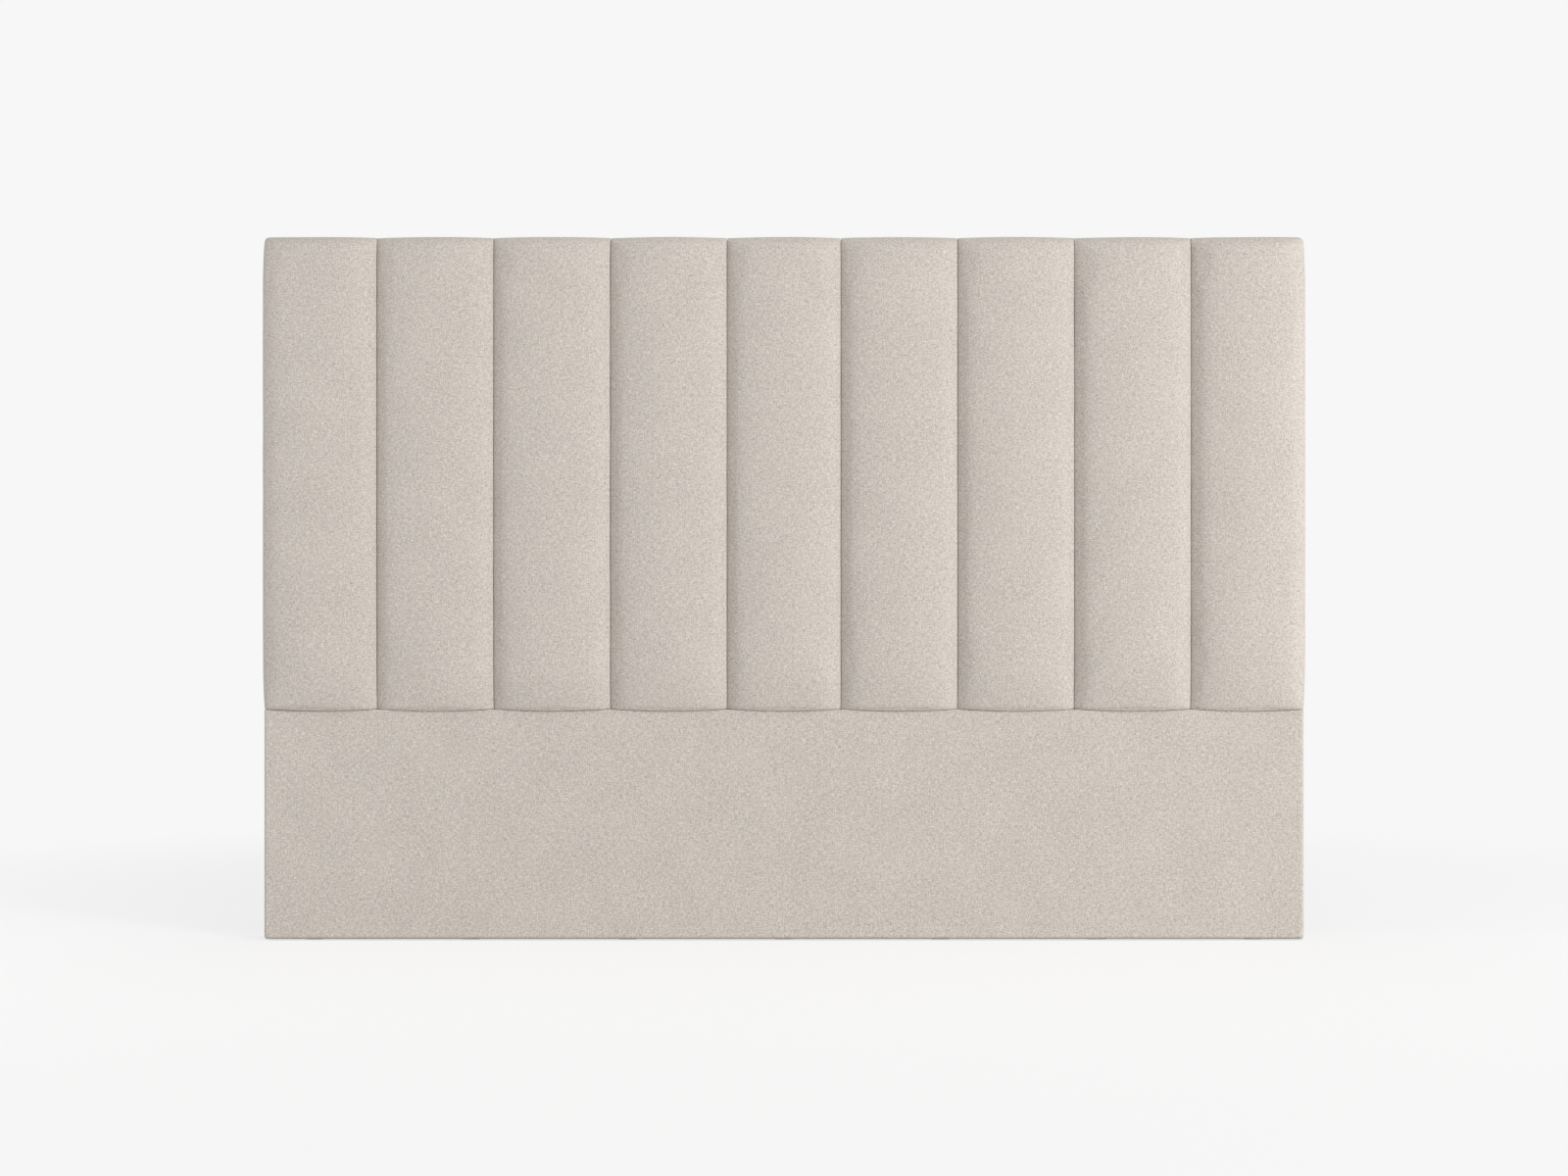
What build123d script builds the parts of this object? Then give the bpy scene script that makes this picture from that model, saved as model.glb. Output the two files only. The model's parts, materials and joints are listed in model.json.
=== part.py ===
"""Upholstered headboard for a wide bed: a timber frame panel with nine soft channels above a plain skirt.

Units are millimetres. X runs across the bed, the padded front faces -Y and Z is up.
The origin is the middle of the footprint, on the floor.
"""

from build123d import *
import os
from math import cos, radians, sin

# Pads: nine upright channels, the middle one a little narrower
pad_count = 9
pad_pitch = 201
middle_pad_width = 196
end_pad_width = 198
pad_height = 816
pad_side_clearance = 0.3
pad_crown_foam = 35
pad_board_thickness = 9
shoulder_radius = 22
crown_edge_angle = 10
crown_swell = 1.5
hem_scallop = 3.5
free_side_bow = 3.5
free_side_ease_length = 90
free_corner_radius = 7

# Rolled ends of a pad, as quarter ellipses of this height that end this deep
top_roll_height = 28
top_roll_end_depth = 14
hem_roll_height = 14
hem_roll_end_depth = 23
top_roll_steps = 3
hem_roll_steps = 2

# Covers
cover_thickness = 1
pad_turnover_width = 25
panel_turnover_width = 35
hidden_turnover_width = 40
dust_cover_thickness = 0.6
dust_cover_margin = 12
hem_clearance = 0.3

# Panel behind the pads
panel_side_setback = 3
panel_drop_below_pads = 3
skirt_height = 393
panel_corner_radius = 6
skirt_edge_radius = 12
front_board_thickness = 5
skirt_foam_thickness = 20

# Timber frame
frame_depth = 44
stile_width = 60
rail_height = 60
centre_stile_width = 60
bracket_post_width = 120
stile_to_post_gap = 75
rail_tenon_length = 34
upright_tenon_length = 26
tenon_thickness = 14
tenon_shoulder = 10
tenon_clearance = 0.2
corner_block_leg = 68
corner_block_setback = 8

# Sides that small fasteners, their holes and the dust cover's openings are drawn with
fastener_sides = 6
opening_sides = 12

# Screws that hold each pad, driven from inside the frame
pad_screw_diameter = 4
pad_screw_head_diameter = 8
pad_screw_head_height = 2.4
pad_screw_grip_length = 7
pad_screw_clearance = 0.2
pad_screw_end_distance = 110

# Threaded inserts for the bed's brackets
insert_diameter = 14
insert_length = 22
insert_thread_radius = 4
insert_spacing = 120
insert_pattern_height = 230
insert_hole_clearance = 0.1
insert_access_radius = 12

# Felt strips under the bottom edge
felt_thickness = 1.5
felt_width = 30
felt_end_margin = 71
felt_count = 7
felt_front_setback = 12
felt_rear_setback = 4

# How far a cut runs past the material
overrun = 5

# Depths, from the rear plane towards the front
rear_stack = dust_cover_thickness + cover_thickness
pad_depth = 2 * cover_thickness + pad_board_thickness + pad_crown_foam
total_depth = rear_stack + frame_depth + front_board_thickness + cover_thickness + pad_depth
rear_y = total_depth / 2
turnover_y = rear_y - dust_cover_thickness
frame_back_y = turnover_y - cover_thickness
frame_front_y = frame_back_y - frame_depth
board_front_y = frame_front_y - front_board_thickness
pad_back_y = board_front_y - cover_thickness
skirt_foam_front_y = board_front_y - skirt_foam_thickness
skirt_front_y = skirt_foam_front_y - cover_thickness

# Across the headboard
pads_between = (pad_count - 3) // 2
pads_width = middle_pad_width + 2 * (end_pad_width + pads_between * pad_pitch)
panel_width = pads_width - 2 * panel_side_setback
frame_half_width = panel_width / 2 - cover_thickness
stile_inner_x = frame_half_width - stile_width
bracket_post_offset = stile_inner_x - stile_to_post_gap - bracket_post_width / 2
felt_pitch = (panel_width - 2 * felt_end_margin - felt_width) / (felt_count - 1)

# Heights, from the floor up
panel_bottom_z = felt_thickness
pad_bottom_z = panel_bottom_z + skirt_height + hem_clearance
pad_top_z = pad_bottom_z + pad_height
panel_top_z = pad_top_z - panel_drop_below_pads
frame_bottom_z = panel_bottom_z + cover_thickness
frame_top_z = panel_top_z - cover_thickness
bottom_rail_top_z = frame_bottom_z + rail_height
top_rail_bottom_z = frame_top_z - rail_height
middle_rail_z = pad_bottom_z
middle_rail_top_z = middle_rail_z + rail_height / 2
middle_rail_bottom_z = middle_rail_z - rail_height / 2

crown_edge = radians(crown_edge_angle)


def block(x, y, z):
    """A box between pairs of X, Y and Z values."""
    (x0, x1), (y0, y1), (z0, z1) = sorted(x), sorted(y), sorted(z)
    return Pos((x0 + x1) / 2, (y0 + y1) / 2, (z0 + z1) / 2) * Box(x1 - x0, y1 - y0, z1 - z0)


def rod_y(x, z, y, radius):
    """A round rod along Y between two Y values."""
    y0, y1 = sorted(y)
    return Pos(x, (y0 + y1) / 2, z) * Rot(90, 0, 0) * Cylinder(radius, y1 - y0)


def facet_rod_y(x, z, y, radius, sides=fastener_sides):
    """A small fastener or opening along Y, drawn with few sides."""
    y0, y1 = sorted(y)
    outline = Pos(x, y1, z) * Rot(90, 0, 0) * RegularPolygon(radius, sides)
    return extrude(outline, amount=y1 - y0, dir=(0, -1, 0))


def along_y(face, y):
    """Carries an outline drawn in the XZ plane from the first Y value to the second."""
    y0, y1 = sorted(y)
    return extrude(Pos(0, y1, 0) * face, amount=y1 - y0, dir=(0, -1, 0))


def joined(edges):
    """A flat face inside a closed chain of edges."""
    return Face(Wire([edge for line in edges for edge in line.edges()]))


def write(name, shape):
    """Writes one node's solid, or its group of separate solids."""
    solids = shape.solids()
    node = solids[0] if len(solids) == 1 else Compound(children=solids)
    node.label = name
    export_step(node, f"parts/{name}.step")


# Pads


def pad_sides():
    """The left and right limit of each pad's space across the headboard."""
    half_widths = [end_pad_width] + [pad_pitch] * pads_between
    limits = [-pads_width / 2]
    for width in half_widths + [middle_pad_width] + half_widths[::-1]:
        limits.append(limits[-1] + width)
    return list(zip(limits, limits[1:]))


def hem_arc(left, right, z):
    """A pad's lower edge, which hangs lowest in the middle."""
    return ThreePointArc((left, 0, z + hem_scallop), ((left + right) / 2, 0, z), (right, 0, z + hem_scallop))


def hem_trim(left, right, z):
    """Everything above a pad's hem, as an outline."""
    high = pad_top_z + overrun
    left_low, right_low = (left, 0, z + hem_scallop), (right, 0, z + hem_scallop)
    rest = Polyline(right_low, (right, 0, high), (left, 0, high), left_low)
    return joined([hem_arc(left, right, z), rest])


def free_side_inset(height, inset):
    """How far a side without a neighbour draws in at a height: a long ease, then a round corner."""
    top = pad_top_z - inset
    bottom = pad_bottom_z + inset
    from_end = min(height - bottom, top - height)
    ease = free_side_bow * max(0, 1 - from_end / free_side_ease_length) ** 2
    corner_rise = free_corner_radius - min(from_end, free_corner_radius)
    return ease + free_corner_radius - (free_corner_radius**2 - corner_rise**2) ** 0.5


def pad_section(left, right, height, depth, full_depth, inset):
    """A pad cut level: flat back, upright flanks, round shoulders and a shallow crown."""
    half_width = (right - left) / 2
    shoulder = shoulder_radius - inset
    crown_radius = (half_width - shoulder * (1 - sin(crown_edge))) / sin(crown_edge)
    crown_rise = crown_radius * (1 - cos(crown_edge))
    flank = full_depth - shoulder * cos(crown_edge) - crown_rise
    share = depth / full_depth
    shoulder *= share
    flank *= share
    shoulder_x = shoulder * (1 - sin(crown_edge))
    shoulder_depth = flank + shoulder * cos(crown_edge)
    turn = (radians(90) - crown_edge) / 2
    bulge_x = shoulder * (1 - cos(turn))
    bulge_depth = flank + shoulder * sin(turn)

    def at(x, forward):
        return (x, pad_back_y - forward, height)

    left_edge, right_edge = at(left + shoulder_x, shoulder_depth), at(right - shoulder_x, shoulder_depth)
    return joined(
        [
            Line(at(left, 0), at(left, flank)),
            ThreePointArc(at(left, flank), at(left + bulge_x, bulge_depth), left_edge),
            ThreePointArc(left_edge, at((left + right) / 2, depth), right_edge),
            ThreePointArc(right_edge, at(right - bulge_x, bulge_depth), at(right, flank)),
            Line(at(right, flank), at(right, 0)),
            Line(at(right, 0), at(left, 0)),
        ]
    )


def roll(edge_z, height, end_depth, full_depth, steps):
    """Heights and depths along a rolled end, from the full pad out to its edge."""
    for step in range(steps + 1):
        angle = radians(90) * step / steps
        yield edge_z - height * (1 - sin(angle)), end_depth + (full_depth - end_depth) * cos(angle)


def pad_form(index, inset):
    """A pad's outer form, drawn in evenly by an inset: crowned both ways, its top and hem rolled back."""
    left, right = pad_sides()[index]
    left += inset + pad_side_clearance
    right -= inset + pad_side_clearance
    left_free, right_free = index == 0, index == pad_count - 1
    full_depth = pad_depth - inset
    end_depth = full_depth - crown_swell
    top = pad_top_z - inset
    bottom = pad_bottom_z + inset
    upper = list(roll(top, top_roll_height - inset, top_roll_end_depth, end_depth, top_roll_steps))
    lower = list(roll(bottom, inset - hem_roll_height, hem_roll_end_depth, end_depth, hem_roll_steps))
    stations = lower[::-1] + [((upper[0][0] + lower[0][0]) / 2, full_depth)] + upper
    if left_free or right_free:
        stations += [(bottom + free_side_ease_length, end_depth), (top - free_side_ease_length, end_depth)]
    sections = []
    for height, depth in sorted(stations):
        drawn_in = free_side_inset(height, inset)
        section_left = left + drawn_in * left_free
        section_right = right - drawn_in * right_free
        sections.append(pad_section(section_left, section_right, height, depth, full_depth, inset))
    trim = hem_trim(*pad_sides()[index], bottom)
    depth = (pad_back_y + overrun, pad_back_y - pad_depth - overrun)
    return loft(sections, ruled=True) & along_y(trim, depth)


def screw_places(index):
    """Where a pad's two screws stand: in the middle of the wider span the stiles leave open behind it."""
    left, right = pad_sides()[index]
    open_spans = ((centre_stile_width / 2, stile_inner_x), (-stile_inner_x, -centre_stile_width / 2))
    behind = [(max(left, low), min(right, high)) for low, high in open_spans]
    first_x, last_x = max(behind, key=lambda span: span[1] - span[0])
    for z in (pad_bottom_z + pad_screw_end_distance, pad_top_z - pad_screw_end_distance):
        yield (first_x + last_x) / 2, z


def pad_pieces(index):
    """One pad's plywood back, foam and fabric cover."""
    left, right = pad_sides()[index]
    board_back = pad_back_y - cover_thickness
    board_front = board_back - pad_board_thickness
    inside = pad_form(index, cover_thickness)
    behind = block((left, right), (pad_back_y + overrun, board_back), (pad_bottom_z, pad_top_z))
    filling = inside - behind
    slab = block((left, right), (board_back, board_front), (pad_bottom_z, pad_top_z))
    board = filling & slab
    foam = filling - slab
    window = block(
        (left + pad_turnover_width, right - pad_turnover_width),
        (pad_back_y + overrun, board_back - overrun),
        (pad_bottom_z + pad_turnover_width, pad_top_z - pad_turnover_width),
    )
    cover = pad_form(index, 0) - filling - window
    hole_radius = pad_screw_diameter / 2 + pad_screw_clearance
    for x, z in screw_places(index):
        board -= facet_rod_y(x, z, (board_back + overrun, board_back - pad_screw_grip_length), hole_radius)
    return board, foam, cover


# Panel


def panel_face(inset):
    """The panel seen from the front: a plain rectangle with small round corners."""
    width = panel_width - 2 * inset
    height = panel_top_z - panel_bottom_z - 2 * inset
    face = Rectangle(width, height).face()
    face = fillet(face.vertices(), panel_corner_radius - inset)
    return Pos(0, 0, (panel_top_z + panel_bottom_z) / 2) * Rot(90, 0, 0) * face


def above_hem(drop):
    """Everything above the pads' scalloped hem line, lowered by a drop, as one outline."""
    sides = pad_sides()
    left, right = sides[0][0], sides[-1][1]
    hem = [hem_arc(a, b, pad_bottom_z - drop) for a, b in sides]
    low = pad_bottom_z - drop + hem_scallop
    high = pad_top_z + overrun
    return joined(hem + [Polyline((right, 0, low), (right, 0, high), (left, 0, high), (left, 0, low))])


def skirt(inset, back_y):
    """The thick lower zone in front of the board: rounded edges, and a top that follows the pads' hems."""
    front_y = skirt_front_y + inset
    form = along_y(panel_face(inset), (back_y, front_y))
    front_edges = form.faces().sort_by(Axis.Y)[0].edges()
    form = fillet(front_edges, skirt_edge_radius - inset)
    return form - along_y(above_hem(hem_clearance + inset), (back_y + overrun, front_y - overrun))


def panel_form(inset):
    """The covered panel without its pads, drawn in evenly by an inset."""
    upper = along_y(panel_face(inset), (turnover_y - inset, pad_back_y + inset))
    return upper + skirt(inset, pad_back_y + inset)


def panel_cover():
    """The fabric round the panel, turned over onto the frame's back and onto the board behind the pads."""
    back_window = block(
        (-panel_width / 2 + panel_turnover_width, panel_width / 2 - panel_turnover_width),
        (turnover_y + overrun, frame_back_y - overrun),
        (panel_bottom_z + panel_turnover_width, panel_top_z - panel_turnover_width),
    )
    hidden_window = block(
        (-panel_width / 2 + hidden_turnover_width, panel_width / 2 - hidden_turnover_width),
        (board_front_y + overrun, pad_back_y - overrun),
        (pad_bottom_z + hidden_turnover_width, panel_top_z - hidden_turnover_width),
    )
    return panel_form(0) - panel_form(cover_thickness) - back_window - hidden_window


def front_board():
    """The thin board that closes the frame's front and carries the pads."""
    board = along_y(panel_face(cover_thickness), (frame_front_y, board_front_y))
    radius = pad_screw_diameter / 2 + pad_screw_clearance
    holes = [
        facet_rod_y(x, z, (frame_front_y + overrun, board_front_y - overrun), radius)
        for index in range(pad_count)
        for x, z in screw_places(index)
    ]
    return board - holes


def pad_screws():
    """Pan head screws from inside the frame, through the front board into the pads' backs."""
    head_back = frame_front_y + pad_screw_head_height
    tip = pad_back_y - cover_thickness - pad_screw_grip_length + pad_screw_clearance
    screws = []
    for index in range(pad_count):
        for x, z in screw_places(index):
            head = facet_rod_y(x, z, (head_back, frame_front_y), pad_screw_head_diameter / 2)
            screws.append(head + facet_rod_y(x, z, (frame_front_y, tip), pad_screw_diameter / 2))
    return Compound(children=[screw.solids()[0] for screw in screws])


# Frame


def tenons():
    """Every tenon: the member that carries it, the member that takes it, and its spans along X and Z."""
    for name, low, high in (
        ("bottom_rail", frame_bottom_z, bottom_rail_top_z),
        ("middle_rail", middle_rail_bottom_z, middle_rail_top_z),
        ("top_rail", top_rail_bottom_z, frame_top_z),
    ):
        heights = (low + tenon_shoulder, high - tenon_shoulder)
        yield name, "left_stile", (-stile_inner_x - rail_tenon_length, -stile_inner_x), heights
        yield name, "right_stile", (stile_inner_x, stile_inner_x + rail_tenon_length), heights
    for name, side in (("left_bracket_post", -1), ("right_bracket_post", 1)):
        middle_x = side * bracket_post_offset
        reach = bracket_post_width / 2 - tenon_shoulder
        widths = (middle_x - reach, middle_x + reach)
        yield name, "bottom_rail", widths, (bottom_rail_top_z - upright_tenon_length, bottom_rail_top_z)
        yield name, "middle_rail", widths, (middle_rail_bottom_z, middle_rail_bottom_z + upright_tenon_length)
    reach = centre_stile_width / 2 - tenon_shoulder
    lower_end = (middle_rail_top_z - upright_tenon_length, middle_rail_top_z)
    upper_end = (top_rail_bottom_z, top_rail_bottom_z + upright_tenon_length)
    yield "centre_stile", "middle_rail", (-reach, reach), lower_end
    yield "centre_stile", "top_rail", (-reach, reach), upper_end


def tenon_block(x, z, growth):
    """A tenon in the middle of the frame's depth, or with growth the mortise that takes it."""
    middle_y = (frame_back_y + frame_front_y) / 2
    half = tenon_thickness / 2 + growth
    grown_x = (x[0] - growth, x[1] + growth)
    grown_z = (z[0] - growth, z[1] + growth)
    return block(grown_x, (middle_y - half, middle_y + half), grown_z)


def frame_members():
    """The timber frame: stiles outside, rails between them, posts where the bed's brackets bolt on."""
    depth = (frame_back_y, frame_front_y)
    outline = along_y(panel_face(cover_thickness), depth)
    full = (frame_bottom_z, frame_top_z)
    inner = (-stile_inner_x, stile_inner_x)
    centre = (-centre_stile_width / 2, centre_stile_width / 2)
    members = {
        "left_stile": block((-frame_half_width, -stile_inner_x), depth, full) & outline,
        "right_stile": block((stile_inner_x, frame_half_width), depth, full) & outline,
        "bottom_rail": block(inner, depth, (frame_bottom_z, bottom_rail_top_z)),
        "middle_rail": block(inner, depth, (middle_rail_bottom_z, middle_rail_top_z)),
        "top_rail": block(inner, depth, (top_rail_bottom_z, frame_top_z)),
        "centre_stile": block(centre, depth, (middle_rail_top_z, top_rail_bottom_z)),
    }
    for name, side in (("left_bracket_post", -1), ("right_bracket_post", 1)):
        middle_x = side * bracket_post_offset
        widths = (middle_x - bracket_post_width / 2, middle_x + bracket_post_width / 2)
        post = block(widths, depth, (bottom_rail_top_z, middle_rail_bottom_z))
        radius = insert_diameter / 2 + insert_hole_clearance
        hole_front = frame_back_y - insert_length - insert_hole_clearance
        for x, z in insert_places():
            if widths[0] < x < widths[1]:
                post -= facet_rod_y(x, z, (frame_back_y + overrun, hole_front), radius)
        members[name] = post
    for owner, receiver, x, z in tenons():
        members[owner] += tenon_block(x, z, 0)
        members[receiver] -= tenon_block(x, z, tenon_clearance)
    return members


def corner_blocks():
    """Glued triangular blocks in the frame's four outer corners."""
    blocks = []
    front = frame_front_y + corner_block_setback
    back = frame_back_y - corner_block_setback
    for side in (-1, 1):
        for z, up in ((bottom_rail_top_z, 1), (top_rail_bottom_z, -1)):
            x = side * stile_inner_x
            leg_x = (x - side * corner_block_leg, 0, z)
            leg_z = (x, 0, z + up * corner_block_leg)
            face = joined([Line((x, 0, z), leg_x), Line(leg_x, leg_z), Line(leg_z, (x, 0, z))])
            blocks.append(along_y(face, (front, back)).solids()[0])
    return Compound(children=blocks)


def insert_places():
    """The four inserts: two posts, two heights."""
    for x in (-bracket_post_offset, bracket_post_offset):
        for side in (-1, 1):
            yield x, insert_pattern_height + side * insert_spacing / 2


def threaded_inserts():
    """Steel sleeves, open at the back, for the bed brackets' bolts."""
    sleeves = []
    for x, z in insert_places():
        body = facet_rod_y(x, z, (frame_back_y, frame_back_y - insert_length), insert_diameter / 2)
        through = (frame_back_y + overrun, frame_back_y - insert_length - overrun)
        bore = rod_y(x, z, through, insert_thread_radius)
        sleeves.append((body - bore).solids()[0])
    return Compound(children=sleeves)


def dust_cover():
    """The thin cloth that closes the back, with an opening over each insert."""
    cloth = block(
        (-panel_width / 2 + dust_cover_margin, panel_width / 2 - dust_cover_margin),
        (rear_y, turnover_y),
        (panel_bottom_z + dust_cover_margin, panel_top_z - dust_cover_margin),
    )
    openings = (rear_y + overrun, turnover_y - overrun)
    return cloth - [
        facet_rod_y(x, z, openings, insert_access_radius, opening_sides) for x, z in insert_places()
    ]


def felt_strips():
    """Felt strips across the bottom edge, set back so that they don't show from the front."""
    strips = []
    for number in range(felt_count):
        x = (number - (felt_count - 1) / 2) * felt_pitch
        strip = block(
            (x - felt_width / 2, x + felt_width / 2),
            (skirt_front_y + felt_front_setback, turnover_y - felt_rear_setback),
            (0, felt_thickness),
        )
        strips.append(strip.solids()[0])
    return Compound(children=strips)


os.makedirs("parts", exist_ok=True)
for name, member in frame_members().items():
    write(name, member)
write("corner_blocks", corner_blocks())
write("front_board", front_board())
write("skirt_foam", skirt(cover_thickness, board_front_y))
write("panel_cover", panel_cover())
for pad in range(pad_count):
    board, foam, cover = pad_pieces(pad)
    write(f"pad_{pad + 1}_board", board)
    write(f"pad_{pad + 1}_foam", foam)
    write(f"pad_{pad + 1}_cover", cover)
write("pad_screws", pad_screws())
write("threaded_inserts", threaded_inserts())
write("dust_cover", dust_cover())
write("felt_strips", felt_strips())
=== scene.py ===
"""Upholstered headboard for a wide bed: nine soft upright channels above a plain padded skirt.

Metres. X runs across the bed, the padded front faces -Y and Z is up.
"""

import json
import math

import bmesh
import bpy
import numpy as np
from bpy.props import FloatProperty, FloatVectorProperty, PointerProperty
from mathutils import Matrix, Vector, noise


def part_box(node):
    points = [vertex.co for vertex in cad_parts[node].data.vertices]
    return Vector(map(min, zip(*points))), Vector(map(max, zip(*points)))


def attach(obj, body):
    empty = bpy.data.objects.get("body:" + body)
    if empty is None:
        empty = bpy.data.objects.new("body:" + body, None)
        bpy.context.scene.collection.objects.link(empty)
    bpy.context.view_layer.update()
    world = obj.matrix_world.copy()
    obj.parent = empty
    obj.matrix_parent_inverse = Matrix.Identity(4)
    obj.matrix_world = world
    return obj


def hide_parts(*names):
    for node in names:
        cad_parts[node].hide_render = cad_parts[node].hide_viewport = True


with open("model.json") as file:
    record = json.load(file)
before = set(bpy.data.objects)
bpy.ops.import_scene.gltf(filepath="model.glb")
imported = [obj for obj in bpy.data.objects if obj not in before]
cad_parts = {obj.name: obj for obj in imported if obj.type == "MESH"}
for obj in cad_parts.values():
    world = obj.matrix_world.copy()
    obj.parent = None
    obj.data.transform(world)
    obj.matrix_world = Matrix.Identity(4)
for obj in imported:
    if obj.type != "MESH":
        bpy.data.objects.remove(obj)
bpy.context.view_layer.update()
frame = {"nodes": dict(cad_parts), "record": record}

bl_info = {
    "name": "Channelled headboard",
    "version": (1, 0, 0),
    "blender": (4, 5, 0),
    "location": "View3D > Sidebar > Headboard",
    "description": "Builds the soft and visible pieces of a channelled headboard round its timber frame",
    "category": "Object",
}

PAD_NUMBERS = range(1, 10)
PAD_BOXES = [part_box(f"pad_{number}_cover") for number in PAD_NUMBERS]
PANEL_LOW, PANEL_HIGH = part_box("panel_cover")
BOARD_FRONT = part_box("front_board")[0].y
DUST_LOW, DUST_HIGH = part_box("dust_cover")


# Settings


def property_kind(maker, **limits):
    """A maker of properties of one kind from their name, description and default."""
    return lambda name, description, default: maker(
        name=name, description=description, default=default, **limits
    )


metres = property_kind(FloatProperty, unit="LENGTH")
watts = property_kind(FloatProperty, unit="POWER")
share = property_kind(FloatProperty, subtype="FACTOR", min=0, max=1)
level = property_kind(FloatProperty, min=0)
colour = property_kind(FloatVectorProperty, subtype="COLOR", size=3, min=0, max=1)
place = property_kind(FloatVectorProperty, subtype="TRANSLATION", size=3)


class HeadboardPadSettings(bpy.types.PropertyGroup):
    """Shape of the nine channels."""

    crease_drop: metres("Crease drop", "From a channel's crown down to the crease beside it", 0.022)
    crown_share: share("Crown share", "Share of the crease drop that the wide crown takes", 0.64)
    crease_radius: metres("Crease radius", "Turn of the cloth where two channels meet", 0.001)
    free_edge_radius: metres("Free edge radius", "Turn of the cloth onto a side without a neighbour", 0.008)
    top_roll_height: metres("Top roll height", "Height over which the top rolls back", 0.028)
    top_roll_depth: metres("Top roll depth", "Depth that is left at the top edge", 0.014)
    top_rise: metres("Top rise", "How far a channel's top edge swells up at its middle", 0.0008)
    top_scallop: metres("Top scallop", "How much lower the top edge lies at a crease", 0.0013)
    hem_roll_height: metres("Hem roll height", "Height over which the hem rolls back", 0.01)
    hem_roll_drop: metres("Hem roll drop", "How far the hem rolls back", 0.004)
    hem_ease_height: metres("Hem ease height", "Height over which a channel leans back to its hem", 0.085)
    hem_ease_drop: metres("Hem ease drop", "How far it leans back", 0.014)
    hem_scallop: metres("Hem scallop", "How much lower a hem hangs at its middle", 0.0035)
    swell: metres("Swell", "How much fuller a channel is at half height", 0.0015)
    free_side_bow: metres("Free side bow", "How far a side without a neighbour eases in at its ends", 0.0028)
    free_side_ease: metres("Free side ease", "Height over which that side eases in", 0.09)
    free_corner_radius: metres("Free corner radius", "Round corner of a side without a neighbour", 0.007)
    corner_radius: metres("Corner radius", "Round corner at the ends of a crease", 0.002)
    cell: metres("Cell", "Spacing of the mesh on the long runs", 0.0085)
    puff: metres("Puff", "How far the air pressure may push the cloth out", 0.001)
    pressure: level("Pressure", "Pressure inside a channel", 4)
    unevenness: metres("Unevenness", "Gentle waves of the filling under the cloth", 0.0004)
    fill: share("Fill", "How tight the channels are stuffed", 0.85)


class HeadboardPanelSettings(bpy.types.PropertyGroup):
    """Shape of the cloth over the panel and its skirt."""

    side_radius: metres("Side radius", "Turn of the cloth at the panel's outline", 0.005)
    front_radius: metres("Front radius", "Depth over which the skirt's edges roll back", 0.008)
    rear_radius: metres("Rear radius", "Turn of the cloth onto the back", 0.002)
    tuck_radius: metres("Tuck radius", "Turn of the cloth under the channels' hems", 0.001)
    turnover: metres("Turnover", "Width of the cloth on the frame's back", 0.035)
    hidden_turnover: metres("Hidden turnover", "Width of the cloth on the board behind the channels", 0.04)
    cloth: metres("Cloth", "Thickness of the cloth", 0.001)
    cell: metres("Cell", "Spacing of the mesh on the long runs", 0.014)
    unevenness: metres("Unevenness", "Gentle waves of the padding under the cloth", 0.0005)
    fill: share("Fill", "How tight the skirt is padded", 0.9)


class HeadboardBackSettings(bpy.types.PropertyGroup):
    """Pieces that show at the back and underneath."""

    opening_radius: metres("Opening radius", "Openings in the dust cloth over the inserts", 0.012)
    dust_cloth: metres("Dust cloth", "Thickness of the dust cloth", 0.0004)
    dust_hem: metres("Dust cloth hem", "Width of the dust cloth's folded edge", 0.018)
    staple_setback: metres("Staple setback", "From the dust cloth's edge to its staples", 0.009)
    staple_pitch: metres("Staple pitch", "From one staple to the next", 0.045)
    staple_width: metres("Staple width", "Width of a staple's crown", 0.0105)
    staple_wire: metres("Staple wire", "Thickness of a staple's wire", 0.0011)
    flange_radius: metres("Flange radius", "Collar of a threaded insert on the timber", 0.0088)
    felt_edge: metres("Felt edge", "Round edge of a felt strip", 0.0005)


class HeadboardFinishSettings(bpy.types.PropertyGroup):
    """Colours and grain sizes."""

    cloth_colour: colour("Cloth", "Colour of the upholstery", (0.588, 0.533, 0.483))
    cloth_fleck: colour("Cloth flecks", "Colour of the yarn's lighter fibres", (0.80, 0.74, 0.68))
    cloth_thread: metres("Thread", "Spacing of the upholstery's threads", 0.0014)
    dust_colour: colour("Dust cloth", "Colour of the dust cloth", (0.022, 0.022, 0.024))
    timber_colour: colour("Timber", "Colour of the frame's softwood", (0.62, 0.42, 0.22))
    board_colour: colour("Board", "Colour of the boards", (0.50, 0.35, 0.20))
    steel_colour: colour("Steel", "Colour of the zinc plated steel", (0.62, 0.62, 0.60))
    felt_colour: colour("Felt", "Colour of the felt strips", (0.52, 0.48, 0.42))


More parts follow.
